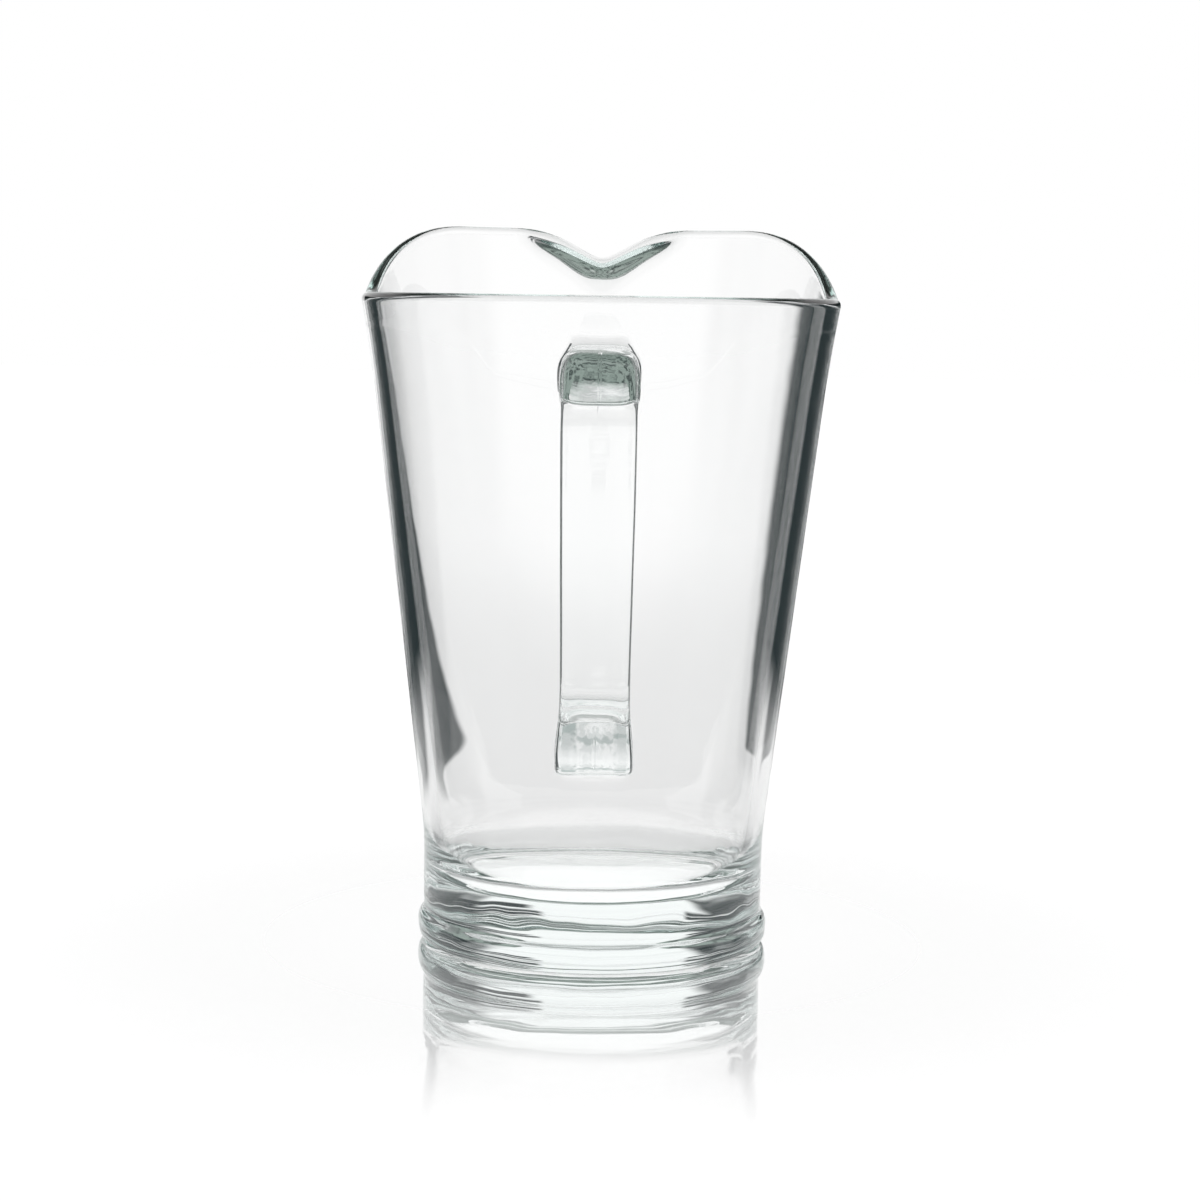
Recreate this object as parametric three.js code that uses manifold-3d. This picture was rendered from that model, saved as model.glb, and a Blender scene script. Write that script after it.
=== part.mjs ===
// Pressed clear-glass serving jug: a heavy foot, a tapered bowl, a raised pouring rim and a loop handle.
// Millimetres. The origin is on the jug's axis at the table, +Z up, spout towards +Y, handle towards -Y.

import * as THREE from 'three';
import { ParametricGeometry } from 'three/addons/geometries/ParametricGeometry.js';
import { mergeVertices } from 'three/addons/utils/BufferGeometryUtils.js';
import Module from 'manifold-3d';

const wasm = await Module();
wasm.setup();

// Bowl: a straight heel below, then a long taper that turns out a little under the rim
const rimHeight = 200;
const rimRadius = 73.7;
const rimFlare = 1.2;
const flareDepth = 34;
const heelRadius = 52.8;
const heelHeight = 33;
const heelBlend = 6;
const rimWall = 4.3;
const heelWall = 5.4;

// Foot: a solid bottom whose top face is the inside floor, standing on a round bead
const floorHeight = 19;
const floorFillet = 13;
const beadRadius = 54.5;
const beadHeight = 10.2;
const beadEdge = 2.8;

// Rim: level on the handle side, rising by two shoulders to a crown that is folded out into the spout
const rimBand = 10;
const foldBelowRim = 6;
const crownLift = 22;
const shoulderStart = 88.5;
const shoulderEnd = 38.3;
const shoulderEase = 1.4;
const spoutHalfWidth = 27;
const spoutFold = 78;
const spoutBend = 18;
const lipBend = 5;
const lipSwell = 0.5;
const foldHold = 2.5;
const notchHalfWidth = 11;
const notchRound = 3;
const notchEase = 1.6;
const notchDepth = 3.4;

// Handle: two arms of arched section and a bar that leans with the wall, tight inside both its bends
const lowerArmHeight = 75;
const upperArmDepth = 12;
const upperArmDrop = 3.5;
const lowerArmDepth = 16.4;
const upperArmWidth = 22.2;
const lowerArmWidth = 21;
const upperArmLean = -0.04;
const lowerArmLean = 0.07;
const armEdge = 5;
const armFoot = 2;
const barDepth = 12.5;
const barWidthTop = 20.8;
const barWidthFoot = 19.4;
const barEdge = 1.1;
const fingerGapTop = 33;
const fingerGapFoot = 32;
const upperBend = 26;
const lowerBend = 20;
const upperFullness = 1;
const lowerFullness = 3;
const innerFullness = 14;

// Roots: flared pads on the wall that carry the handle's ends, the upper one just under the rim's seat
const rootFlare = 2;
const rootReach = 2.4;
const rootBite = 2;
const rootClearance = 2.5;

// Smoothness of the facets
const turnSteps = 72;
const rimSteps = 96;
const rimCrowding = 0.5;
const arcSteps = 4;
const cornerSteps = 2;
const wallSteps = 8;
const edgeSteps = 6;

const glass = { color: 0xdce6e2, roughness: 0.03, metalness: 0 };

// Wall shape

const taper = (rimRadius - rimFlare - heelRadius) / (rimHeight - heelHeight);
const rimSeat = rimHeight - rimBand;
const upperArmHeight = rimSeat - rootClearance - rootFlare - upperArmDepth / 2;

function outerRadius(z) {
  const above = z - heelHeight;
  const flare = Math.max(0, z - rimHeight + flareDepth) / flareDepth;
  let run = Math.max(0, above);
  if (Math.abs(above) < heelBlend) {
    run = (above + heelBlend) ** 2 / (4 * heelBlend);
  }
  return heelRadius + taper * run + rimFlare * flare * flare;
}

function wallAt(z) {
  const share = THREE.MathUtils.clamp((z - heelHeight) / (rimSeat - heelHeight), 0, 1);
  return THREE.MathUtils.lerp(heelWall, rimWall, share);
}

function innerRadius(z) {
  return outerRadius(z) - wallAt(z);
}

function spread(from, to, steps) {
  return Array.from({ length: steps + 1 }, (_, i) => THREE.MathUtils.lerp(from, to, i / steps));
}

// Solids

function mergedGeometry(geometry) {
  geometry.deleteAttribute('normal');
  geometry.deleteAttribute('uv');
  return mergeVertices(geometry, 1e-5);
}

// A profile of [radius, height] points turned about the Z axis
function revolve(profile) {
  const points = profile.map(([r, z]) => new THREE.Vector2(r, z));
  const turned = new THREE.LatheGeometry(points, turnSteps);
  turned.rotateX(Math.PI / 2);
  return mergedGeometry(turned);
}

// A closed body through rings of points, each ring turning with the direction of travel
function loft(rings) {
  const count = rings[0].length;
  const last = (rings.length - 1) * count;
  const points = rings.flat();
  const middle = (ring) => ring.reduce((sum, p) => sum.add(p), new THREE.Vector3()).divideScalar(count);
  points.push(middle(rings[0]), middle(rings[rings.length - 1]));
  const index = [];
  for (let i = 0; i < rings.length - 1; i += 1) {
    for (let j = 0; j < count; j += 1) {
      const a = i * count + j;
      const b = i * count + (j + 1) % count;
      index.push(a, b, b + count, a, b + count, a + count);
    }
  }
  for (let j = 0; j < count; j += 1) {
    const k = (j + 1) % count;
    index.push(last + count, k, j, last + count + 1, last + j, last + k);
  }
  const geometry = new THREE.BufferGeometry().setFromPoints(points);
  geometry.setIndex(index);
  return geometry;
}

// A rounded oblong that is wider on one of its sides, counter-clockwise, as [across, along] pairs
function arched({ width, depth, lean, outerEdge, innerEdge }) {
  const x = width / 2;
  const y = depth / 2;
  const shape = new THREE.Shape();
  shape.absarc(x - outerEdge, y - outerEdge, outerEdge, 0, Math.PI / 2);
  shape.absarc(outerEdge - x, y - outerEdge, outerEdge, Math.PI / 2, Math.PI);
  shape.absarc(innerEdge - x, innerEdge - y, innerEdge, Math.PI, Math.PI * 1.5);
  shape.absarc(x - innerEdge, innerEdge - y, innerEdge, Math.PI * 1.5, Math.PI * 2);
  const points = shape.getPoints(cornerSteps);
  if (points[0].distanceTo(points[points.length - 1]) < 1e-6) {
    points.pop();
  }
  return points.map((p) => new THREE.Vector2(p.x * (1 + lean * p.y / y), p.y));
}

function toSolid(geometry) {
  const vertProperties = new Float32Array(geometry.attributes.position.array);
  const triVerts = new Uint32Array(geometry.index.array);
  return new wasm.Manifold(new wasm.Mesh({ numProp: 3, vertProperties, triVerts }));
}

function toGeometry(solid) {
  const mesh = solid.getMesh();
  const geometry = new THREE.BufferGeometry();
  geometry.setAttribute('position', new THREE.BufferAttribute(mesh.vertProperties, 3));
  geometry.setIndex(new THREE.BufferAttribute(mesh.triVerts, 1));
  return geometry;
}

// Foot

function footGeometry() {
  const outline = new THREE.Path();
  outline.moveTo(0, 0);
  outline.lineTo(beadRadius - beadEdge, 0);
  outline.absarc(beadRadius - beadEdge, beadEdge, beadEdge, -Math.PI / 2, 0);
  outline.lineTo(beadRadius, beadHeight * 0.6);
  outline.quadraticCurveTo(beadRadius, beadHeight * 0.86, heelRadius, beadHeight);
  outline.lineTo(heelRadius, floorHeight);
  outline.lineTo(0, floorHeight);
  return revolve(outline.getPoints(arcSteps).map((p) => [p.x, p.y]));
}

// Sections of the handle, whose outer side faces away from the finger gap

const upperArm = {
  width: upperArmWidth,
  lean: upperArmLean,
  outerEdge: armEdge,
  innerEdge: armEdge,
};
const lowerArm = {
  width: lowerArmWidth,
  lean: lowerArmLean,
  outerEdge: armFoot,
  innerEdge: armEdge,
};
const barTop = {
  width: barWidthTop,
  lean: 0,
  outerEdge: barEdge,
  innerEdge: barEdge,
};
const barFoot = {
  ...barTop,
  width: barWidthFoot,
};

function mixSections(from, to, share) {
  const mixed = {};
  Object.keys(from).forEach((key) => {
    mixed[key] = THREE.MathUtils.lerp(from[key], to[key], share);
  });
  return mixed;
}

// Bowl with the two root pads

function bowlOutside() {
  const heights = [
    floorHeight,
    ...spread(heelHeight - heelBlend, heelHeight + heelBlend, 4),
    ...spread(rimHeight - flareDepth, rimSeat, 3),
  ];
  const wall = heights.map((z) => [outerRadius(z), z]);
  return revolve([[0, floorHeight], ...wall, [0, rimSeat]]);
}

function bowlInside() {
  const filletTop = floorHeight + floorFillet;
  const floorRadius = innerRadius(filletTop) - floorFillet;
  const fillet = spread(0, Math.PI / 2, arcSteps).map((turn) => [
    floorRadius + floorFillet * Math.sin(turn),
    filletTop - floorFillet * Math.cos(turn),
  ]);
  const heights = [
    heelHeight + heelBlend,
    ...spread(rimHeight - flareDepth, rimSeat, 3),
  ];
  const wall = heights.map((z) => [innerRadius(z), z]);
  const below = floorHeight - 1;
  const above = rimSeat + 1;
  return revolve([
    [0, below],
    [floorRadius, below],
    ...fillet,
    ...wall,
    [innerRadius(rimSeat), above],
    [0, above],
  ]);
}

// The plane, at -Y, where a root pad ends and the handle begins
function rootFace(height, depth) {
  return outerRadius(height + depth / 2) + rootReach;
}

// Side is 1 for a pad whose outer side is above, and -1 for one whose outer side is below
function rootPad(height, depth, arm, side) {
  const face = rootFace(height, depth);
  const start = outerRadius(height - depth / 2) - rootBite - rootFlare;
  return loft(spread(0, 1, 5).map((share) => {
    const flare = 2 * rootFlare * (1 - share) ** 2;
    const y = -THREE.MathUtils.lerp(start, face, share);
    const section = arched({
      width: arm.width + flare,
      depth: depth + flare,
      lean: arm.lean,
      outerEdge: arm.outerEdge + flare / 2,
      innerEdge: arm.innerEdge + flare / 2,
    });
    return section.map((p) => new THREE.Vector3(side * p.x, y, height + side * p.y));
  }));
}

function bowlGeometry() {
  const body = toSolid(bowlOutside())
    .add(toSolid(rootPad(upperArmHeight, upperArmDepth, upperArm, 1)))
    .add(toSolid(rootPad(lowerArmHeight, lowerArmDepth, lowerArm, -1)))
    .subtract(toSolid(bowlInside()));
  return toGeometry(body);
}

// Rim with the pouring spout

// How far the wall is raised, by the angle from the spout
function crownAt(turn) {
  const from = THREE.MathUtils.degToRad(shoulderStart);
  const to = THREE.MathUtils.degToRad(shoulderEnd);
  const share = THREE.MathUtils.clamp((from - turn) / (from - to), 0, 1);
  return crownLift * Math.sin(Math.PI / 2 * share) ** shoulderEase;
}

// How far the wall is folded out, by the angle from the spout
function foldAt(turn) {
  const share = Math.min(1, turn * rimRadius / spoutHalfWidth);
  return THREE.MathUtils.degToRad(spoutFold) * (1 - share ** foldHold);
}

// A blunt V round the spout: 1 in its middle and 0 from a width on, by the angle from the spout
function blunt(turn, halfWidth) {
  const aside = Math.hypot(turn * rimRadius, notchRound) - notchRound;
  return Math.max(0, 1 - aside / halfWidth);
}

// The middle of the wall, from the rim's seat at 0 up to the centre of its round edge at 1
function rimMiddle(turn, share, target) {
  const away = Math.abs(turn);
  const foldStart = rimHeight - foldBelowRim;
  const middleRadius = (z) => outerRadius(z) - wallAt(z) / 2;
  const below = foldStart - rimSeat;
  const notch = notchDepth * blunt(away, notchHalfWidth) ** notchEase;
  const length = foldBelowRim - rimWall / 2 + crownAt(away) - notch;
  const along = share * (below + length);
  let height = rimSeat + Math.min(along, below);
  let radius = middleRadius(height);
  if (along > below) {
    const run = along - below;
    const wanted = THREE.MathUtils.lerp(lipBend, spoutBend, blunt(away, spoutHalfWidth) ** 2);
    const bend = Math.min(wanted, length);
    const flat = Math.min(run, length - bend);
    const lean = Math.atan(middleRadius(foldStart) - middleRadius(foldStart - 1));
    const fold = foldAt(away) / bend + 1e-6;
    const turned = lean + fold * (run - flat);
    radius += flat * Math.sin(lean) + (Math.cos(lean) - Math.cos(turned)) / fold;
    height += flat * Math.cos(lean) + (Math.sin(turned) - Math.sin(lean)) / fold;
  }
  return target.set(radius * Math.sin(turn), radius * Math.cos(turn), height);
}

function rimGeometry() {
  const stacks = 2 * wallSteps + edgeSteps + 1;
  const step = 1e-4;
  const here = new THREE.Vector3();
  const ahead = new THREE.Vector3();
  const behind = new THREE.Vector3();
  const around = new THREE.Vector3();
  const upward = new THREE.Vector3();
  const outward = new THREE.Vector3();
  return mergedGeometry(new ParametricGeometry((u, v, target) => {
    const whole = 2 * Math.PI * (1 - u);
    const turn = whole - rimCrowding * Math.sin(whole);
    const signed = turn > Math.PI ? turn - 2 * Math.PI : turn;
    const place = Math.round(v * stacks);
    const onEdge = place - wallSteps;
    const back = stacks - 1 - place;
    const share = THREE.MathUtils.clamp(Math.min(place, Math.max(back, 0)) / wallSteps, 0, 1);
    rimMiddle(signed, share, here);
    rimMiddle(signed + step, share, ahead);
    rimMiddle(signed - step, share, behind);
    around.subVectors(ahead, behind).normalize();
    rimMiddle(signed, share + step, ahead);
    rimMiddle(signed, share - step, behind);
    upward.subVectors(ahead, behind).normalize();
    outward.crossVectors(upward, around).normalize();
    upward.crossVectors(around, outward);
    const swell = lipSwell * share ** 2 * foldAt(Math.abs(signed)) / foldAt(0);
    const half = rimWall / 2 * (1 + swell);
    const edge = Math.PI * THREE.MathUtils.clamp(onEdge / edgeSteps, 0, 1);
    target.copy(here).addScaledVector(outward, half * Math.cos(edge));
    target.addScaledVector(upward, half * Math.sin(edge));
    if (share < 1e-6) {
      const seated = place === 0 || place === stacks ? outerRadius(rimSeat) : innerRadius(rimSeat);
      target.set(seated * Math.sin(signed), seated * Math.cos(signed), rimSeat);
    }
  }, rimSteps, stacks));
}

// Handle

// The distance from the axis to the side of the bar that the fingers close on
function barInside(z) {
  const top = outerRadius(upperArmHeight) + fingerGapTop;
  const foot = outerRadius(lowerArmHeight) + fingerGapFoot;
  return THREE.MathUtils.mapLinear(z, lowerArmHeight, upperArmHeight, foot, top);
}

function straight(from, to) {
  return (share) => from.clone().lerp(to, share);
}

// A bend from one point to another that keeps the closer to its corner the fuller it is
function bend(from, corner, to, fullness) {
  return (share) => {
    const first = (1 - share) ** 2;
    const middle = 2 * fullness * share * (1 - share);
    const last = share ** 2;
    const sum = from.clone().multiplyScalar(first);
    sum.addScaledVector(corner, middle).addScaledVector(to, last);
    return sum.divideScalar(first + middle + last);
  };
}

// One edge of the handle, as five stretches of [reach, height] points from the upper root to the lower one
function handleEdge(outside) {
  const side = outside ? 1 : -1;
  const depth = outside ? barDepth : 0;
  const drop = outside ? 0 : upperArmDrop;
  const top = upperArmHeight + upperArmDepth / 2;
  const foot = lowerArmHeight - lowerArmDepth / 2;
  const upper = upperArmHeight + side * upperArmDepth / 2;
  const lower = lowerArmHeight - side * lowerArmDepth / 2;
  const onBar = (z) => new THREE.Vector2(barInside(z) + depth, z);
  const start = new THREE.Vector2(rootFace(upperArmHeight, upperArmDepth), upper);
  const upperCorner = onBar(upper - drop);
  const reach = barInside(top) + barDepth - upperBend;
  const upperEnd = start.clone().lerp(upperCorner, (reach - start.x) / (upperCorner.x - start.x));
  const barStart = onBar(top - upperBend);
  const barEnd = onBar(foot + lowerBend);
  const lowerStart = new THREE.Vector2(barInside(foot) + barDepth - lowerBend, lower);
  const end = new THREE.Vector2(rootFace(lowerArmHeight, lowerArmDepth), lower);
  return [
    straight(start, upperEnd),
    bend(upperEnd, upperCorner, barStart, outside ? upperFullness : innerFullness),
    straight(barStart, barEnd),
    bend(barEnd, onBar(lower), lowerStart, outside ? lowerFullness : innerFullness),
    straight(lowerStart, end),
  ];
}

// The sections at the ends of each stretch, and where in it the first gives way to the second
const stretches = [
  { from: upperArm, to: upperArm, steps: 2, change: [0, 1] },
  { from: upperArm, to: barTop, steps: 10, change: [0.5, 0.8] },
  { from: barTop, to: barFoot, steps: 3, change: [0, 1] },
  { from: barFoot, to: lowerArm, steps: 10, change: [-0.1, 0.22] },
  { from: lowerArm, to: lowerArm, steps: 2, change: [0, 1] },
];

function handleGeometry() {
  const outer = handleEdge(true);
  const inner = handleEdge(false);
  const rings = stretches.flatMap(({ from, to, steps, change }, leg) => {
    const shares = spread(0, 1, steps).slice(leg === 0 ? 0 : 1);
    return shares.map((share) => {
      const outside = outer[leg](share);
      const inside = inner[leg](share);
      const middle = outside.clone().add(inside).divideScalar(2);
      const outward = outside.clone().sub(inside);
      const depth = outward.length();
      const section = mixSections(from, to, THREE.MathUtils.smoothstep(share, ...change));
      outward.divideScalar(depth);
      return arched({ ...section, depth }).map((p) => (
        new THREE.Vector3(p.x, -middle.x - outward.x * p.y, middle.y + outward.y * p.y)
      ));
    });
  });
  return loft(rings);
}

// Assembly

function piece(name, geometry) {
  geometry.computeVertexNormals();
  const mesh = new THREE.Mesh(geometry, new THREE.MeshStandardMaterial(glass));
  mesh.name = name;
  return mesh;
}

const jug = new THREE.Group();
jug.name = 'glass_jug';
jug.add(piece('foot', footGeometry()));
jug.add(piece('bowl', bowlGeometry()));
jug.add(piece('spout_rim', rimGeometry()));
jug.add(piece('handle', handleGeometry()));

export default jug;
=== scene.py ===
import math

import bmesh
import bpy
from mathutils import Matrix, Vector, noise


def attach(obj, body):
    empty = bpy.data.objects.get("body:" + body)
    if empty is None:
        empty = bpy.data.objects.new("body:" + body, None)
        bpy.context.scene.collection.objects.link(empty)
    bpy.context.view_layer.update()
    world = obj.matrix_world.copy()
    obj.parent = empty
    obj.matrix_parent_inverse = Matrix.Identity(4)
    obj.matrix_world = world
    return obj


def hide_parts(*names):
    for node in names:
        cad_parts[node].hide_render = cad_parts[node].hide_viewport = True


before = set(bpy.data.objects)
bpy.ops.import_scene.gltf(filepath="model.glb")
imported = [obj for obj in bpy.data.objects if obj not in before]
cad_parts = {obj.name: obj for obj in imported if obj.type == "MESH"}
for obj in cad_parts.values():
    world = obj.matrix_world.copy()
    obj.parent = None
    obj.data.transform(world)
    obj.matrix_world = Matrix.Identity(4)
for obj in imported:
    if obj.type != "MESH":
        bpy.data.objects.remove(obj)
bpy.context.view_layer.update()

scene = bpy.context.scene
scene.view_settings.view_transform = "Standard"

# Light crosses the wall many times on its way through thick glass
BOUNCES = 48
scene.cycles.max_bounces = BOUNCES
scene.cycles.glossy_bounces = BOUNCES
scene.cycles.transmission_bounces = BOUNCES

# Sizes of the glass in metres, as in the solids, apart from a rounder bend of the spout
RIM_HEIGHT = 0.200
RIM_RADIUS = 0.0737
RIM_FLARE = 0.0012
FLARE_DEPTH = 0.034
HEEL_RADIUS = 0.0528
HEEL_HEIGHT = 0.033
HEEL_BLEND = 0.006
RIM_WALL = 0.0043
HEEL_WALL = 0.0054
FLOOR_HEIGHT = 0.019
FLOOR_FILLET = 0.013
RIM_BAND = 0.010
FOLD_BELOW_RIM = 0.006
CROWN_LIFT = 0.0220
SHOULDER_START = math.radians(88.5)
SHOULDER_END = math.radians(38.3)
SHOULDER_EASE = 1.4
SPOUT_HALF_WIDTH = 0.027
SPOUT_FOLD = math.radians(78)
SPOUT_BEND = 0.018
BEND_ROUND = 0.010
LIP_BEND = 0.005
LIP_SWELL = 0.5
FOLD_HOLD = 2.5
NOTCH_HALF_WIDTH = 0.011
NOTCH_ROUND = 0.003
NOTCH_EASE = 1.6
NOTCH_DEPTH = 0.0034
UPPER_ARM_HEIGHT = 0.1795
LOWER_ARM_HEIGHT = 0.075
UPPER_ARM_DEPTH = 0.012
UPPER_ARM_DROP = 0.0035
LOWER_ARM_DEPTH = 0.0164
UPPER_ARM_WIDTH = 0.0222
LOWER_ARM_WIDTH = 0.0210
UPPER_ARM_LEAN = -0.04
LOWER_ARM_LEAN = 0.07
BAR_DEPTH = 0.0125
BAR_WIDTH_TOP = 0.0208
BAR_WIDTH_FOOT = 0.0194
FINGER_GAP_TOP = 0.033
FINGER_GAP_FOOT = 0.032
UPPER_BEND = 0.026
LOWER_BEND = 0.020
UPPER_FULLNESS = 1.0
LOWER_FULLNESS = 3.0
INNER_FULLNESS = 14.0
HANDLE_EDGE = 0.0011
ARM_EDGE = 0.0050
ARM_FOOT = 0.0020
ROOT_REACH = 0.0024

TAPER = (RIM_RADIUS - RIM_FLARE - HEEL_RADIUS) / (RIM_HEIGHT - HEEL_HEIGHT)
RIM_SEAT = RIM_HEIGHT - RIM_BAND
RIM_CENTRE = RIM_HEIGHT - RIM_WALL / 2

# Columns of the skin, and where they are drawn together
COLUMNS = 144
GATHERED = 0.5
LOWER_ROOT_DRAW = (-0.05, -0.42)
UPPER_ROOT_DRAW = (-0.11, -0.40)
ROOT_TURN = math.radians(10)
LOWER_ROOT_HALF = 0.0120
UPPER_ROOT_HALF = 0.0080


def blend(a, b, share):
    return a + (b - a) * share


def smooth(x, low, high):
    x = min(1.0, max(0.0, (x - low) / (high - low)))
    return x * x * (3 - 2 * x)


# Wall of the bowl

def outer_radius(z):
    above = z - HEEL_HEIGHT
    run = max(0.0, above)
    if abs(above) < HEEL_BLEND:
        run = (above + HEEL_BLEND) ** 2 / (4 * HEEL_BLEND)
    flare = max(0.0, z - RIM_HEIGHT + FLARE_DEPTH) / FLARE_DEPTH
    return HEEL_RADIUS + TAPER * run + RIM_FLARE * flare ** 2


def wall_at(z):
    share = min(1.0, max(0.0, (z - HEEL_HEIGHT) / (RIM_SEAT - HEEL_HEIGHT)))
    return blend(HEEL_WALL, RIM_WALL, share)


def middle_radius(z):
    return outer_radius(z) - wall_at(z) / 2


def inner_radius(z):
    return outer_radius(z) - wall_at(z)


# Raised rim and folded spout

def crown_at(away):
    share = min(1.0, max(0.0, (SHOULDER_START - away) / (SHOULDER_START - SHOULDER_END)))
    return CROWN_LIFT * math.sin(math.pi / 2 * share) ** SHOULDER_EASE


def fold_at(away):
    """How far the wall is folded out, by the angle from the spout."""
    share = min(1.0, away * RIM_RADIUS / SPOUT_HALF_WIDTH)
    return SPOUT_FOLD * (1 - share ** FOLD_HOLD)


def blunt(away, half_width, rounding=NOTCH_ROUND):
    """A blunt V round the spout: one in its middle and nought from a width on."""
    aside = math.hypot(away * RIM_RADIUS, rounding) - rounding
    return max(0.0, 1 - aside / half_width)


def rim_middle(turn, share):
    """Middle of the wall, from the rim's seat at nought up to the centre of its round edge at one."""
    away = abs(turn)
    fold_start = RIM_HEIGHT - FOLD_BELOW_RIM
    below = fold_start - RIM_SEAT
    notch = NOTCH_DEPTH * blunt(away, NOTCH_HALF_WIDTH) ** NOTCH_EASE
    length = FOLD_BELOW_RIM - RIM_WALL / 2 + crown_at(away) - notch
    along = share * (below + length)
    height = RIM_SEAT + min(along, below)
    radius = middle_radius(height)
    if along > below:
        run = along - below
        bend = min(length, blend(LIP_BEND, SPOUT_BEND, blunt(away, SPOUT_HALF_WIDTH, BEND_ROUND) ** 2))
        flat = min(run, length - bend)
        step = 0.001
        lean = math.atan((middle_radius(fold_start) - middle_radius(fold_start - step)) / step)
        # Never quite nought, because it divides
        fold = fold_at(away) / bend + 1e-3
        turned = lean + fold * (run - flat)
        radius += flat * math.sin(lean) + (math.cos(lean) - math.cos(turned)) / fold
        height += flat * math.cos(lean) + (math.sin(turned) - math.sin(lean)) / fold
    return Vector((radius * math.sin(turn), radius * math.cos(turn), height))


def raise_rim(co):
    """Moves a point of the plain turned rim to its place on the raised rim."""
    turn = math.atan2(co.x, co.y)
    radius = math.hypot(co.x, co.y)
    share = min(1.0, (co.z - RIM_SEAT) / (RIM_CENTRE - RIM_SEAT))
    offset = radius - middle_radius(min(co.z, RIM_CENTRE))
    up = max(0.0, co.z - RIM_CENTRE)
    step = 1e-3
    around = rim_middle(turn + step, share) - rim_middle(turn - step, share)
    upward = rim_middle(turn, share + step) - rim_middle(turn, share - step)
    outward = upward.cross(around).normalized()
    upward = around.cross(outward).normalized()
    lip = 1 + LIP_SWELL * share ** 2 * fold_at(abs(turn)) / SPOUT_FOLD
    return rim_middle(turn, share) + (outward * offset + upward * up) * lip


def root_spread(z):
    """How far the columns of the outer wall are drawn apart or together beside the two roots."""
    lower = blend(*LOWER_ROOT_DRAW, smooth(z, 0.076, 0.0875)) * smooth(z, 0.046, 0.062)
    lower *= 1 - smooth(z, 0.088, 0.102)
    upper = blend(*UPPER_ROOT_DRAW, smooth(z, 0.180, 0.187)) * smooth(z, 0.150, 0.168)
    return lower + upper


def draw_columns(co):
    """Moves a point of the outer wall along its ring, so that the roots are narrow above and wide below."""
    turn = math.atan2(co.x, -co.y)
    turn *= 1 + root_spread(co.z) * (1 - smooth(abs(turn), math.radians(12), math.radians(32)))
    radius = math.hypot(co.x, co.y)
    return Vector((radius * math.sin(turn), -radius * math.cos(turn), co.z))


def gather_columns(co):
    """Moves a point along its ring, so that the columns stand closer together under the spout."""
    turn = math.atan2(co.x, co.y)
    share = smooth(co.z, 0.10, 0.18) * (1 - smooth(abs(turn), math.radians(6), math.radians(50)))
    turn *= 1 - GATHERED * share
    radius = math.hypot(co.x, co.y)
    return Vector((radius * math.sin(turn), radius * math.cos(turn), co.z))


# Body of the jug

# Smoothing draws the round edge in, so it starts a little fuller
EDGE_FULLNESS = 1.04


def rows(low, high, count):
    return [blend(low, high, i / count) for i in range(count + 1)]


def jug_profile():
    """Radius and height of each ring, from the underside round over the rim to the inside floor."""
    underside = [(r, 0.0) for r in (0.010, 0.022, 0.034, 0.044, 0.0492)]
    bead = [
        (0.0515, 0.0001), (0.0531, 0.0007), (0.0541, 0.0019), (0.05455, 0.0037), (0.0546, 0.0056),
        (0.0544, 0.0072), (0.0539, 0.0086), (0.0531, 0.0097), (0.0527, 0.0108), (0.0527, 0.0124),
    ]
    lower_root = rows(LOWER_ARM_HEIGHT - 0.0115, LOWER_ARM_HEIGHT + 0.0125, 6)
    upper_root = rows(UPPER_ARM_HEIGHT - 0.0080, UPPER_ARM_HEIGHT + 0.0075, 6)
    heights = [0.016, 0.021, 0.0262, 0.0305, 0.034, 0.038, 0.0435, 0.050, 0.0560, *lower_root]
    heights += [0.0905, 0.098, 0.108, 0.120, 0.132, 0.144, 0.154, 0.162, *upper_root]
    outside = [(outer_radius(z), z) for z in heights]
    rim = rows(RIM_SEAT, RIM_CENTRE, 11)
    outside += [(outer_radius(z), z) for z in rim]
    half = RIM_WALL / 2 * EDGE_FULLNESS
    edge = [math.radians(30 * i) for i in range(1, 6)]
    lip_radius = middle_radius(RIM_CENTRE)
    lip = [(lip_radius + half * math.cos(a), RIM_CENTRE + half * math.sin(a)) for a in edge]
    heights = [*reversed(rim), 0.185, 0.176, 0.164, 0.150, 0.134, 0.117, 0.100, 0.083, 0.066, 0.052, 0.041]
    inside = [(inner_radius(z), z) for z in heights]
    fillet_top = FLOOR_HEIGHT + FLOOR_FILLET
    floor_radius = inner_radius(fillet_top) - FLOOR_FILLET
    turns = [math.radians(90 - 18 * i) for i in range(6)]
    fillet = [
        (floor_radius + FLOOR_FILLET * math.sin(a), fillet_top - FLOOR_FILLET * math.cos(a))
        for a in turns
    ]
    floor = [(r, FLOOR_HEIGHT) for r in (floor_radius - 0.003, 0.022, 0.010)]
    return underside + bead + outside + lip + inside + fillet + floor


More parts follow.
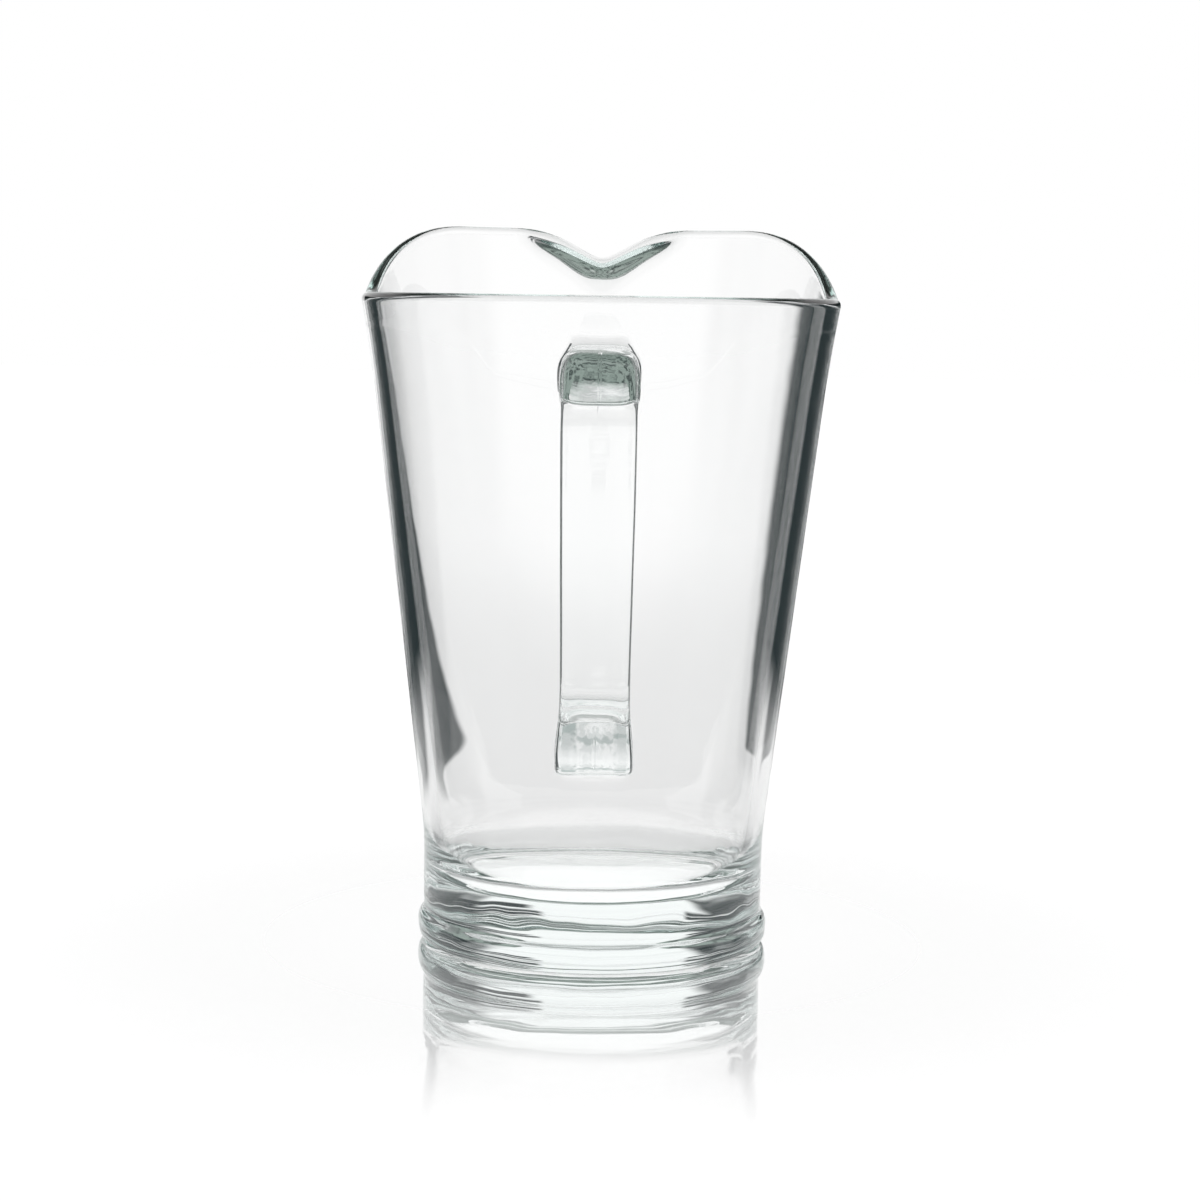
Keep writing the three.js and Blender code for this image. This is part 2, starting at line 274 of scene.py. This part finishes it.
def press_body():
    """One closed skin of glass: the outline is drawn point by point, then turned once round the axis."""
    profile = jug_profile()
    bpy.ops.object.select_all(action="DESELECT")
    bpy.ops.mesh.primitive_plane_add(size=0.001, location=(0, 0, 0))
    jug = bpy.context.object
    jug.name = "jug_glass"
    jug.data.name = "jug_glass"
    bpy.ops.object.mode_set(mode="EDIT")
    bpy.context.tool_settings.mesh_select_mode = (True, False, False)
    bpy.ops.mesh.select_all(action="SELECT")
    bpy.ops.mesh.merge(type="CENTER")
    radius, height = 0.0, 0.0
    for next_radius, next_height in [*profile, (0.0, FLOOR_HEIGHT)]:
        step = (0, next_radius - radius, next_height - height)
        bpy.ops.mesh.extrude_region_move(TRANSFORM_OT_translate={"value": step})
        radius, height = next_radius, next_height
    bpy.ops.mesh.select_all(action="SELECT")
    bpy.ops.mesh.spin(steps=COLUMNS, angle=2 * math.pi, center=(0, 0, 0), axis=(0, 0, 1))
    bpy.ops.mesh.select_all(action="SELECT")
    bpy.ops.mesh.remove_doubles(threshold=1e-5)
    bpy.ops.mesh.normals_make_consistent(inside=False)
    bpy.ops.mesh.select_all(action="DESELECT")
    bpy.context.tool_settings.mesh_select_mode = (False, False, True)
    bpy.ops.object.mode_set(mode="OBJECT")
    return jug


def shape_skin(jug):
    """Raises the rim, folds the spout and shapes the two roots on the turned skin."""
    for vertex in jug.data.vertices:
        co = gather_columns(vertex.co)
        if co.z > RIM_SEAT + 1e-6:
            vertex.co = raise_rim(co)
        elif co.y > 0:
            vertex.co = co
        elif math.hypot(co.x, co.y) > middle_radius(co.z):
            vertex.co = draw_columns(co)


# Handle

# Shares of half a section at which the last column and the last row before its corners lie
LAST_COLUMN = 0.75
LAST_ROW = 2 / 3

# Only the two opened faces have more sides than this, and each lies this close to its arm's height
MANY_SIDES = 20
NEARBY = 0.02


def cut_root(jug, height, half_depth, half_turn):
    """Opens one many-sided face on the outer wall, where an end of the handle joins it."""
    mesh = jug.data
    bpy.ops.object.mode_set(mode="EDIT")
    bpy.ops.mesh.select_all(action="DESELECT")
    bpy.ops.object.mode_set(mode="OBJECT")
    for face in mesh.polygons:
        turn = math.atan2(face.center.x, -face.center.y)
        level = face.center.z - height
        face.select = abs(turn) < half_turn and abs(level) < half_depth and face.normal.y < 0
    bpy.ops.object.mode_set(mode="EDIT")
    bpy.ops.mesh.dissolve_faces()
    edit = bmesh.from_edit_mesh(mesh)
    across = edit.verts.layers.float.get("across") or edit.verts.layers.float.new("across")
    along = edit.verts.layers.float.get("along") or edit.verts.layers.float.new("along")
    opening = [face for face in edit.faces if face.select]
    ring = opening[0].verts
    widest = max(abs(math.atan2(v.co.x, -v.co.y)) for v in ring)
    middle = (max(v.co.z for v in ring) + min(v.co.z for v in ring)) / 2
    tallest = max(v.co.z - middle for v in ring)
    for v in ring:
        v[across] = math.atan2(v.co.x, -v.co.y) / widest
        v[along] = (v.co.z - middle) / tallest
    bmesh.update_edit_mesh(mesh)
    bpy.ops.object.mode_set(mode="OBJECT")


def root_face(height, depth):
    return outer_radius(height + depth / 2) + ROOT_REACH


def bend_point(a, corner, b, fullness, share):
    """A bend from a round a corner to b. A greater fullness keeps it closer to the corner."""
    first, middle, last = (1 - share) ** 2, 2 * fullness * share * (1 - share), share ** 2
    return (a * first + corner * middle + b * last) / (first + middle + last)


def bar_inside(z):
    """Distance from the axis to the side of the bar that the fingers close on."""
    top = outer_radius(UPPER_ARM_HEIGHT) + FINGER_GAP_TOP
    foot = outer_radius(LOWER_ARM_HEIGHT) + FINGER_GAP_FOOT
    return blend(foot, top, (z - LOWER_ARM_HEIGHT) / (UPPER_ARM_HEIGHT - LOWER_ARM_HEIGHT))


def handle_edge(outside):
    """Five legs of one edge of the handle from the upper root to the lower, giving points (reach, height)."""
    side = 1 if outside else -1
    depth = BAR_DEPTH if outside else 0.0
    upper_outer = UPPER_ARM_HEIGHT + UPPER_ARM_DEPTH / 2
    lower_outer = LOWER_ARM_HEIGHT - LOWER_ARM_DEPTH / 2
    upper = UPPER_ARM_HEIGHT + side * UPPER_ARM_DEPTH / 2
    lower = LOWER_ARM_HEIGHT - side * LOWER_ARM_DEPTH / 2
    bar_top = upper_outer - UPPER_BEND
    bar_foot = lower_outer + LOWER_BEND
    start = Vector((root_face(UPPER_ARM_HEIGHT, UPPER_ARM_DEPTH), upper))
    fallen = upper if outside else upper - UPPER_ARM_DROP
    upper_corner = Vector((bar_inside(fallen) + depth, fallen))
    reach = bar_inside(upper_outer) + BAR_DEPTH - UPPER_BEND
    first = start.lerp(upper_corner, (reach - start.x) / (upper_corner.x - start.x))
    second = Vector((bar_inside(bar_top) + depth, bar_top))
    third = Vector((bar_inside(bar_foot) + depth, bar_foot))
    lower_corner = Vector((bar_inside(lower) + depth, lower))
    fourth = Vector((bar_inside(lower_outer) + BAR_DEPTH - LOWER_BEND, lower))
    end = Vector((root_face(LOWER_ARM_HEIGHT, LOWER_ARM_DEPTH), lower))
    upper_fullness = UPPER_FULLNESS if outside else INNER_FULLNESS
    lower_fullness = LOWER_FULLNESS if outside else INNER_FULLNESS
    return [
        lambda share: start.lerp(first, share),
        lambda share: bend_point(first, upper_corner, second, upper_fullness, share),
        lambda share: second.lerp(third, share),
        lambda share: bend_point(third, lower_corner, fourth, lower_fullness, share),
        lambda share: fourth.lerp(end, share),
    ]


def handle_stations():
    """Middle, outward direction and section, as width, depth, lean and two corners, from root to root."""
    steps = (3, 12, 6, 12, 3)
    changes = ((0, 1), (0.5, 0.8), (0, 1), (-0.1, 0.22), (0, 1))
    upper = Vector((UPPER_ARM_WIDTH, UPPER_ARM_LEAN, ARM_EDGE, ARM_EDGE))
    lower = Vector((LOWER_ARM_WIDTH, LOWER_ARM_LEAN, ARM_FOOT, ARM_EDGE))
    bar_top = Vector((BAR_WIDTH_TOP, 0, HANDLE_EDGE, HANDLE_EDGE))
    bar_foot = Vector((BAR_WIDTH_FOOT, 0, HANDLE_EDGE, HANDLE_EDGE))
    sections = (upper, upper, bar_top, bar_foot, lower, lower)
    stations = []
    for leg, (outer, inner) in enumerate(zip(handle_edge(True), handle_edge(False))):
        for i in range(0 if leg == 0 else 1, steps[leg] + 1):
            share = i / steps[leg]
            out, back = outer(share), inner(share)
            middle = (out + back) / 2
            outward = Vector((0, back.x - out.x, out.y - back.y))
            change = smooth(share, *changes[leg])
            width, lean, outer_edge, inner_edge = sections[leg].lerp(sections[leg + 1], change)
            section = (width, outward.length, lean, outer_edge, inner_edge)
            stations.append((Vector((0, -middle.x, middle.y)), outward.normalized(), section))
    return stations


def draw_in(value, last, limit):
    """Draws the last column or row before a corner up to where the corner begins, so that it stays tight."""
    if abs(abs(value) - last) < 0.01:
        return math.copysign(max(last, limit), value)
    return value


def place_section(mesh, middle, outward, section):
    """Sets the selected ring to an oblong with round corners that is wider on one of its sides."""
    width, depth, lean, outer_edge, inner_edge = section
    wide, deep = width / 2, depth / 2
    edit = bmesh.from_edit_mesh(mesh)
    across = edit.verts.layers.float["across"]
    along = edit.verts.layers.float["along"]
    for v in edit.verts:
        if v.select:
            corner = outer_edge if v[along] > 0 else inner_edge
            flat = Vector((wide - corner, deep - corner))
            place = Vector((
                draw_in(v[across], LAST_COLUMN, flat.x / wide) * wide,
                draw_in(v[along], LAST_ROW, flat.y / deep) * deep,
            ))
            core = Vector((min(flat.x, max(-flat.x, place.x)), min(flat.y, max(-flat.y, place.y))))
            out = place - core
            if abs(out.x) > 1e-7 and abs(out.y) > 1e-7:
                place = core + out.normalized() * corner
            place.x *= 1 + lean * place.y / deep
            v.co = middle + Vector((1, 0, 0)) * place.x + outward * place.y
    bmesh.update_edit_mesh(mesh)


def select_openings(mesh, heights):
    """Selects the many-sided faces nearest to each of these heights on the handle's side."""
    edit = bmesh.from_edit_mesh(mesh)
    for face in edit.faces:
        middle = face.calc_center_median()
        wanted = len(face.verts) > MANY_SIDES and any(abs(middle.z - z) < NEARBY for z in heights)
        face.select_set(wanted)
    bmesh.update_edit_mesh(mesh)


def draw_handle(jug):
    """Pulls the handle out of the upper root, bends it down and joins it to the lower root."""
    mesh = jug.data
    bpy.ops.object.mode_set(mode="EDIT")
    select_openings(mesh, [UPPER_ARM_HEIGHT])
    for station in handle_stations():
        bpy.ops.mesh.extrude_region()
        place_section(mesh, *station)
    select_openings(mesh, [LOWER_ARM_HEIGHT])
    bpy.ops.mesh.delete(type="ONLY_FACE")
    bpy.ops.mesh.select_mode(type="EDGE")
    bpy.ops.mesh.select_non_manifold(extend=False)
    bpy.ops.mesh.bridge_edge_loops()
    bpy.ops.mesh.select_all(action="SELECT")
    bpy.ops.mesh.normals_make_consistent(inside=False)
    bpy.ops.mesh.select_all(action="DESELECT")
    bpy.ops.object.mode_set(mode="OBJECT")
    for name in ("across", "along"):
        mesh.attributes.remove(mesh.attributes[name])


# Skin of the glass

# Number of swells to the metre, and where each noise starts
BROAD_SCALE, BROAD_START = 55, Vector((3.1, 7.7, 1.3))
MIDDLE_SCALE, MIDDLE_START = 110, Vector((1.4, 5.2, 8.8))
FINE_SCALE, FINE_START = 160, Vector((9.4, 2.6, 5.8))

# Heights of the broad, middle and fine swells of the glass, and how far its skin is drawn back for them
FOOT_BROAD = 0.00030
FOOT_MIDDLE = 0.00012
FOOT_FINE = 0.00004
HANDLE_BROAD = 0.00010
HANDLE_FINE = 0.00003
ARM_MIDDLE = 0.00011
DRAWN_BACK = 0.00010


def swell(co):
    """The uneven swell that the mould leaves on the thick glass of the foot and the handle."""
    foot = (1 - smooth(co.z, 0.016, 0.034)) * (0.2 + 0.8 * smooth(co.z, 0.0005, 0.004))
    handle = smooth(-co.y - outer_radius(co.z), 0.001, 0.006)
    arms = handle * max(smooth(co.z, 0.164, 0.171), 1 - smooth(co.z, 0.082, 0.090))
    broad = noise.noise(co * BROAD_SCALE + BROAD_START)
    middle = noise.noise(co * MIDDLE_SCALE + MIDDLE_START)
    fine = noise.noise(co * FINE_SCALE + FINE_START)
    swollen = foot * (FOOT_BROAD * broad + FOOT_MIDDLE * middle + FOOT_FINE * fine)
    swollen += handle * (HANDLE_BROAD * broad + HANDLE_FINE * fine)
    return swollen + arms * ARM_MIDDLE * middle


def finish_skin(jug):
    """Smooths the skin and gives it the slight swells of pressed glass."""
    bpy.ops.object.select_all(action="DESELECT")
    jug.select_set(True)
    bpy.context.view_layer.objects.active = jug
    rounding = jug.modifiers.new("rounding", "SUBSURF")
    rounding.levels = 1
    rounding.render_levels = 1
    bpy.ops.object.modifier_apply(modifier="rounding")
    moves = [vertex.normal * (swell(vertex.co) - DRAWN_BACK) for vertex in jug.data.vertices]
    for vertex, move in zip(jug.data.vertices, moves):
        if vertex.co.z > 1e-5:
            vertex.co += move
    bpy.ops.object.shade_smooth()


# Finishes

class Sheet:
    """Short words for wiring a node tree."""

    def __init__(self, tree):
        self.nodes, self.links = tree.nodes, tree.links

    def feed(self, socket, value):
        if isinstance(value, (int, float)):
            socket.default_value = value
        else:
            self.links.new(value, socket)

    def math(self, operation, *values):
        node = self.nodes.new("ShaderNodeMath")
        node.operation = operation
        for socket, value in zip(node.inputs, values):
            self.feed(socket, value)
        return node.outputs[0]

    def times(self, first, *others):
        for other in others:
            first = self.math("MULTIPLY", first, other)
        return first

    def most(self, first, *others):
        for other in others:
            first = self.math("MAXIMUM", first, other)
        return first

    def ramp(self, value, low, high, bottom=0.0, top=1.0):
        node = self.nodes.new("ShaderNodeMapRange")
        node.interpolation_type = "SMOOTHSTEP"
        for socket, number in zip(node.inputs[:5], (value, low, high, bottom, top)):
            self.feed(socket, number)
        return node.outputs[0]

    def band(self, value, start, full, fade, end):
        """One between two values, with a soft edge on both sides."""
        return self.times(self.ramp(value, start, full), self.ramp(value, fade, end, 1, 0))

    def parts(self, vector):
        node = self.nodes.new("ShaderNodeSeparateXYZ")
        self.links.new(vector, node.inputs[0])
        return node.outputs[0], node.outputs[1], node.outputs[2]

    def noise(self, place, scale):
        node = self.nodes.new("ShaderNodeTexNoise")
        node.inputs["Scale"].default_value = scale
        self.links.new(place, node.inputs["Vector"])
        return node

    def mix_colours(self, share, first, second):
        node = self.nodes.new("ShaderNodeMix")
        node.data_type = "RGBA"
        node.inputs[6].default_value = first
        node.inputs[7].default_value = second
        self.links.new(share, node.inputs[0])
        return node.outputs[2]

    def mix_shaders(self, share, first, second):
        node = self.nodes.new("ShaderNodeMixShader")
        for socket, output in zip(node.inputs, (share, first.outputs[0], second.outputs[0])):
            self.links.new(output, socket)
        return node


WHITE = (1, 1, 1, 1)
GLASS_IOR = 1.52
GLASS_TINT = (0.40, 0.80, 0.72, 1)
TINT_DENSITY = 1.0
# Grey of the painted shade where the lower arm meets the wall, and the scale of its mottling
PAINTED_SHADE_GREY = (0.24, 0.30, 0.29, 1)
PAINTED_SHADE_SCALE = 430
WAVE_SCALE = 70
DIMPLE_SCALE = 330
WAVE_HEIGHT = 0.00002
DIMPLE_HEIGHT = 0.000025
SEAM_HEIGHT = 0.00011


def glass_relief(sheet, place, aside, y, z):
    """Height of slight waves all over, dimples on both arms and the mould's seam along their middle."""
    waves = sheet.noise(place, WAVE_SCALE)
    waves.inputs["Detail"].default_value = 1
    dimples = sheet.noise(place, DIMPLE_SCALE)
    arms = sheet.most(sheet.ramp(z, 0.164, 0.171), sheet.ramp(z, 0.082, 0.090, 1, 0))
    arms = sheet.times(arms, sheet.ramp(y, -0.066, -0.060, 1, 0), sheet.ramp(aside, 0.0120, 0.0140, 1, 0))
    above = sheet.times(sheet.ramp(z, 0.185, 0.187, 1, 0), sheet.ramp(y, -0.0745, -0.0730, 1, 0))
    below = sheet.times(sheet.ramp(z, 0.080, 0.084, 1, 0), sheet.ramp(z, 0.064, 0.070, 0, 0.5))
    seam = sheet.times(sheet.ramp(aside, 0.0001, 0.0006, 1, 0), arms, sheet.ramp(z, 0.12, 0.13, below, above))
    relief = sheet.times(waves.outputs[0], WAVE_HEIGHT)
    relief = sheet.math("ADD", relief, sheet.times(dimples.outputs[0], arms, DIMPLE_HEIGHT))
    return sheet.math("ADD", relief, sheet.times(seam, SEAM_HEIGHT))


def painted_root_shade(sheet, place, aside, y, z):
    """Painted shade: grey mottling and a grey crease on the inside of the wall, where the lower arm runs into
    it.
    """
    shade_noise = sheet.noise(place, PAINTED_SHADE_SCALE).outputs[0]
    ripple = sheet.math("SUBTRACT", shade_noise, 0.5)
    wide = sheet.math("MULTIPLY_ADD", ripple, 0.0030, aside)
    high = sheet.math("MULTIPLY_ADD", ripple, 0.0040, z)
    inside = sheet.band(y, -0.0580, -0.0560, -0.046, -0.040)
    inside = sheet.times(inside, sheet.ramp(high, 0.0722, 0.0752), sheet.ramp(z, 0.0810, 0.0830, 1, 0))
    flanks = sheet.band(wide, 0.0044, 0.0062, 0.0086, 0.0098)
    flanks = sheet.times(flanks, sheet.ramp(shade_noise, 0.38, 0.58, 0.65, 1.0))
    between = sheet.ramp(aside, 0.0048, 0.0062, 1, 0)
    fold = sheet.math("ABSOLUTE", sheet.math("SUBTRACT", high, 0.0768))
    crease = sheet.times(sheet.ramp(fold, 0.0003, 0.0014, 0.9, 0), between)
    mottled = sheet.times(sheet.ramp(shade_noise, 0.42, 0.58, 0, 0.45), between)
    return sheet.times(sheet.most(flanks, crease, mottled), inside)


def clear_glass():
    glass = bpy.data.materials.new("clear_glass")
    glass.use_nodes = True
    sheet = Sheet(glass.node_tree)
    nodes, links = sheet.nodes, sheet.links
    skin = nodes["Principled BSDF"]
    skin.inputs["Metallic"].default_value = 0
    skin.inputs["Roughness"].default_value = 0.0
    skin.inputs["IOR"].default_value = GLASS_IOR
    skin.inputs["Transmission Weight"].default_value = 1
    place = nodes.new("ShaderNodeTexCoord").outputs["Object"]
    x, y, z = sheet.parts(place)
    aside = sheet.math("ABSOLUTE", x)
    # Painted shade: the glass's colour turns grey where the lower arm runs into the wall
    root_shade = painted_root_shade(sheet, place, aside, y, z)
    links.new(sheet.mix_colours(root_shade, WHITE, PAINTED_SHADE_GREY), skin.inputs["Base Color"])
    bump = nodes.new("ShaderNodeBump")
    bump.inputs["Strength"].default_value = 1
    bump.inputs["Distance"].default_value = 1
    links.new(glass_relief(sheet, place, aside, y, z), bump.inputs["Height"])
    links.new(bump.outputs[0], skin.inputs["Normal"])
    tint = nodes.new("ShaderNodeVolumeAbsorption")
    tint.inputs["Color"].default_value = GLASS_TINT
    tint.inputs["Density"].default_value = TINT_DENSITY
    links.new(tint.outputs["Volume"], nodes["Material Output"].inputs["Volume"])
    return glass


# Studio

FELT = (0.026, 0.036, 0.038, 1)
CEILING = (0.27, 0.33, 0.30, 1)
BEAMS = (0.055, 0.075, 0.070, 1)
FLOOR_SIZE = 12
FLOOR_DROP = 0.0002
PAPER_WHITE = 0.84
POLISH_ROUGHNESS = 0.02
DRAPE_SCALE = 2.1
MOTTLE_SCALE = 13
CAMERA_PLACE = (0.001, -0.8355, 0.200)
CAMERA_PITCH = math.radians(90 - 6.42)
CAMERA_ROLL = math.radians(0.9)
CAMERA_LENS = 81.4


def sweep_edge(sheet, x, near):
    """Half turn of the white sweep, narrower on the right. Near is one over the distance from the jug."""
    right = sheet.math("MULTIPLY_ADD", near, 0.075, 0.183)
    right = sheet.math("ADD", right, sheet.ramp(near, 3.1, 4.0, 0, 0.31))
    left = sheet.math("MULTIPLY_ADD", near, -0.042, 0.393)
    left = sheet.math("ADD", left, sheet.ramp(near, 2.8, 4.2, 0, 0.31))
    return sheet.ramp(x, -0.001, 0.001, left, right)


def outside_sweep(sheet, aside, inner):
    """One beside the white sweep, nought on it. Aside is the turn from +Y, inner the sweep's half turn."""
    edge = sheet.math("SUBTRACT", aside, inner)
    return sheet.ramp(edge, -0.02, 0.02)


def dark_for_glass(sheet, aside, inner):
    """The flags that clear glass shows: a wedge on each side of the sweep, and one square to it."""
    wedge = sheet.ramp(aside, math.radians(42), math.radians(50), 1, 0)
    wedge = sheet.times(outside_sweep(sheet, aside, inner), wedge)
    square = sheet.band(aside, math.radians(58), math.radians(63), math.radians(78), math.radians(84))
    return sheet.most(wedge, square)


def studio_floor():
    bpy.ops.object.select_all(action="DESELECT")
    bpy.ops.mesh.primitive_plane_add(size=FLOOR_SIZE, location=(0, 0, -FLOOR_DROP))
    floor = bpy.context.object
    floor.name = "studio_floor"
    finish = bpy.data.materials.new("white_acrylic")
    finish.use_nodes = True
    sheet = Sheet(finish.node_tree)
    nodes, links = sheet.nodes, sheet.links
    nodes.remove(nodes["Principled BSDF"])
    path = nodes.new("ShaderNodeLightPath")
    by_camera, by_mirror = path.outputs["Is Camera Ray"], path.outputs["Is Glossy Ray"]
    by_glass = path.outputs["Is Transmission Ray"]
    place = nodes.new("ShaderNodeTexCoord")
    x, y, _ = sheet.parts(place.outputs["Object"])
    away = sheet.math("SQRT", sheet.math("ADD", sheet.times(x, x), sheet.times(y, y)))
    aside = sheet.math("ARCTAN2", sheet.math("ABSOLUTE", x), y)
    inner = sweep_edge(sheet, x, sheet.math("DIVIDE", 1.0, sheet.most(away, 0.2)))

    # White paper, a little darker near the jug where glass shows it as painted shade, and with a painted glow
    # under the foot
    paper = nodes.new("ShaderNodeBsdfDiffuse")
    # Painted shade: the paper is darker near the jug, only where glass shows it
    painted_floor_shade = sheet.times(sheet.ramp(away, 0.45, 1.3, 0.125, 0), sheet.ramp(away, 0.055, 0.10), by_glass)
    links.new(sheet.math("SUBTRACT", PAPER_WHITE, painted_floor_shade), paper.inputs["Color"])
    lift = nodes.new("ShaderNodeEmission")
    beside = sheet.math("MULTIPLY_ADD", by_camera, 0.08, 0.16)
    # Painted light: the paper glows brightly under the foot, and beyond it is lifted evenly to white
    painted_glow_and_lift = sheet.ramp(away, 0.046, 0.053, 0.92, beside)
    links.new(sheet.times(sheet.most(by_camera, by_mirror, by_glass), painted_glow_and_lift), lift.inputs["Strength"])
    matt = nodes.new("ShaderNodeAddShader")
    links.new(paper.outputs[0], matt.inputs[0])
    links.new(lift.outputs[0], matt.inputs[1])

    # Polish that mirrors the foot and fades out round it
    polish = nodes.new("ShaderNodeBsdfGlossy")
    polish.inputs["Color"].default_value = WHITE
    polish.inputs["Roughness"].default_value = POLISH_ROUGHNESS
    slant = nodes.new("ShaderNodeLayerWeight")
    slant.inputs["Blend"].default_value = 0.5
    polished = sheet.times(sheet.ramp(away, 0.10, 0.16, 1, 0), by_glass)
    polished = sheet.most(polished, sheet.ramp(away, 0.053, 0.215, 0.92, 0.0))
    polished = sheet.times(polished, sheet.ramp(away, 0.046, 0.053))
    polished = sheet.times(polished, sheet.ramp(slant.outputs["Facing"], 0.50, 0.70))
    sheen = sheet.mix_shaders(polished, matt, polish)

    # Dark felt that only glass and mirrors show
    felt = nodes.new("ShaderNodeEmission")
    felt.inputs["Color"].default_value = FELT
    through = sheet.times(dark_for_glass(sheet, aside, inner), sheet.ramp(away, 0.20, 0.24))
    through = sheet.times(through, sheet.ramp(away, 0.7, 1.6, 0.97, 0.7), by_glass)
    mirrored = sheet.times(outside_sweep(sheet, aside, inner), sheet.ramp(away, 0.28, 0.45))
    mirrored = sheet.times(mirrored, sheet.ramp(aside, math.radians(60), math.radians(75), 1, 0), by_mirror)
    flagged = sheet.mix_shaders(sheet.most(through, mirrored), sheen, felt)
    links.new(flagged.outputs[0], nodes["Material Output"].inputs["Surface"])
    floor.data.materials.append(finish)


def side_cloths(sheet, path, place, aside):
    """Dark cloths with an uneven hem on both sides, and a thin strip on the right, shown by glass alone."""
    x, _, z = sheet.parts(place)
    drape = sheet.noise(place, DRAPE_SCALE).outputs[0]
    hem = sheet.math("MULTIPLY_ADD", drape, 0.5, 0.29)
    hem = sheet.math("MULTIPLY_ADD", z, -0.45, hem)
    cloths = sheet.times(
        sheet.ramp(sheet.math("SUBTRACT", aside, hem), -0.05, 0.12),
        sheet.ramp(aside, math.radians(112), math.radians(125), 1, 0),
        sheet.ramp(drape, 0.46, 0.62, 1.0, 0.7),
        sheet.band(z, 0.04, 0.08, 0.48, 0.56),
    )
    strip = sheet.times(
        sheet.band(aside, 0.20, 0.27, 0.70, 0.80),
        sheet.band(z, 0.150, 0.168, 0.225, 0.250),
        sheet.ramp(x, 0.05, 0.10),
    )
    behind_glass = sheet.math("MINIMUM", path.outputs["Transmission Depth"], 1.0)
    behind_glass = sheet.times(path.outputs["Is Glossy Ray"], behind_glass)
    shown = sheet.most(path.outputs["Is Transmission Ray"], behind_glass)
    return sheet.times(sheet.most(cloths, strip), shown)


def studio_world():
    world = bpy.data.worlds.new("studio")
    scene.world = world
    world.use_nodes = True
    sheet = Sheet(world.node_tree)
    nodes, links = sheet.nodes, sheet.links
    sky = nodes["Background"]
    sky.inputs["Color"].default_value = WHITE
    sky.inputs["Strength"].default_value = 1.0
    path = nodes.new("ShaderNodeLightPath")
    by_mirror, by_glass = path.outputs["Is Glossy Ray"], path.outputs["Is Transmission Ray"]
    place = nodes.new("ShaderNodeTexCoord").outputs["Generated"]
    x, y, z = sheet.parts(place)
    aside = sheet.math("ARCTAN2", sheet.math("ABSOLUTE", x), y)

    # Dark flags low down beside the white sweep
    low = sheet.ramp(z, 0.08, 0.15, 1, 0)
    inner = sweep_edge(sheet, x, 0.0)
    through = sheet.times(dark_for_glass(sheet, aside, inner), low, 0.75, by_glass)
    mirrored = sheet.times(outside_sweep(sheet, aside, inner), low, by_mirror)
    felt = nodes.new("ShaderNodeBackground")
    felt.inputs["Color"].default_value = FELT
    flags = sheet.most(through, side_cloths(sheet, path, place, aside), mirrored)
    flagged = sheet.mix_shaders(flags, sky, felt)

    # Dim ceiling with beams above the far side
    eaves = sheet.ramp(aside, math.radians(12), math.radians(20), 0.585, 0.42)
    ceiling = sheet.ramp(sheet.math("SUBTRACT", z, eaves), -0.008, 0.012)
    ceiling = sheet.times(ceiling, sheet.ramp(z, 0.86, 0.92, 1, 0), sheet.ramp(y, -0.1, 0.1))
    canopy = sheet.ramp(z, 0.45, 0.62)
    above = sheet.most(sheet.times(ceiling, by_glass), sheet.times(canopy, by_mirror))
    mottle = sheet.ramp(sheet.noise(place, MOTTLE_SCALE).outputs[0], 0.37, 0.53)
    mottle = sheet.times(mottle, sheet.ramp(aside, math.radians(46), math.radians(60), 1, 0.15))
    dim = nodes.new("ShaderNodeBackground")
    links.new(sheet.mix_colours(mottle, BEAMS, CEILING), dim.inputs["Color"])
    roofed = sheet.mix_shaders(above, flagged, dim)
    links.new(roofed.outputs[0], nodes["World Output"].inputs["Surface"])


def studio_camera():
    lens = bpy.data.cameras.new("studio_camera")
    lens.sensor_width = 36
    lens.lens = CAMERA_LENS
    lens.clip_start = 0.01
    camera = bpy.data.objects.new("studio_camera", lens)
    scene.collection.objects.link(camera)
    camera.location = CAMERA_PLACE
    aim = Matrix.Rotation(CAMERA_PITCH, 3, "X") @ Matrix.Rotation(CAMERA_ROLL, 3, "Z")
    camera.rotation_euler = aim.to_euler()
    scene.camera = camera


studio_camera()
studio_world()
studio_floor()

jug = press_body()
cut_root(jug, UPPER_ARM_HEIGHT, UPPER_ROOT_HALF, ROOT_TURN)
cut_root(jug, LOWER_ARM_HEIGHT, LOWER_ROOT_HALF, ROOT_TURN)
shape_skin(jug)
draw_handle(jug)
finish_skin(jug)
jug.data.materials.append(clear_glass())
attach(jug, "root")
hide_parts("foot", "bowl", "spout_rim", "handle")
